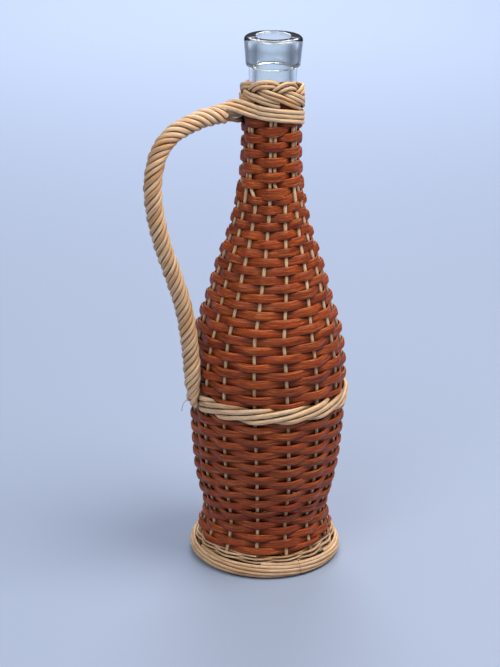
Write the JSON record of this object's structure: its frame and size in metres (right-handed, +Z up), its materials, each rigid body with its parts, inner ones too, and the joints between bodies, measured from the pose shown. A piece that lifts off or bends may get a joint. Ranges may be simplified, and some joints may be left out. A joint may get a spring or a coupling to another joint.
{
  "type": "wicker-covered glass bottle",
  "caption": "Tall clear glass bottle in a close-woven stained cane jacket with a flared foot, a mid band, a plaited collar and one arched twisted handle.",
  "frame": {"origin": "the bottle's axis at the surface it stands on", "axes": "+Z up along the axis, the handle towards -X in the XZ plane"},
  "size_m": [0.1259, 0.094, 0.3134],
  "materials": {
    "bottle_glass": "clear moulded soda-lime glass",
    "stained_cane": "stained split cane, satin",
    "pale_cane": "natural peeled cane, satin"
  },
  "bodies": {
    "root": {"band_cane_1": "pale_cane", "band_cane_2": "pale_cane", "band_cane_3": "pale_cane", "band_cane_4": "pale_cane", "base_ring": "pale_cane", "base_sticks_lower": "pale_cane", "base_sticks_upper": "pale_cane", "border_cane_1": "pale_cane", "border_cane_2": "pale_cane", "border_cane_3": "pale_cane", "border_cane_4": "pale_cane", "border_cane_5": "pale_cane", "collar_loop_1": "pale_cane", "collar_loop_2": "pale_cane", "collar_loop_3": "pale_cane", "collar_loop_4": "pale_cane", "collar_loop_5": "pale_cane", "collar_loop_6": "pale_cane", "collar_loop_7": "pale_cane", "collar_wrap_1": "pale_cane", "collar_wrap_2": "pale_cane", "collar_wrap_3": "pale_cane", "foot_weaver": "pale_cane", "glass_bottle": "bottle_glass", "handle_cane_1": "pale_cane", "handle_cane_2": "pale_cane", "handle_cane_3": "pale_cane", "handle_cane_4": "pale_cane", "handle_cane_5": "pale_cane", "handle_cane_6": "pale_cane", "handle_core": "pale_cane", "lower_weaver": "stained_cane", "neck_weaver": "stained_cane", "stake_01": "pale_cane", "stake_02": "pale_cane", "stake_03": "pale_cane", "stake_04": "pale_cane", "stake_05": "pale_cane", "stake_06": "pale_cane", "stake_07": "pale_cane", "stake_08": "pale_cane", "stake_09": "pale_cane", "stake_10": "pale_cane", "stake_11": "pale_cane", "stake_12": "pale_cane", "stake_13": "pale_cane", "stake_14": "pale_cane", "stake_15": "pale_cane", "upper_weaver_1": "stained_cane", "upper_weaver_2": "stained_cane"}
  },
  "joints": []
}
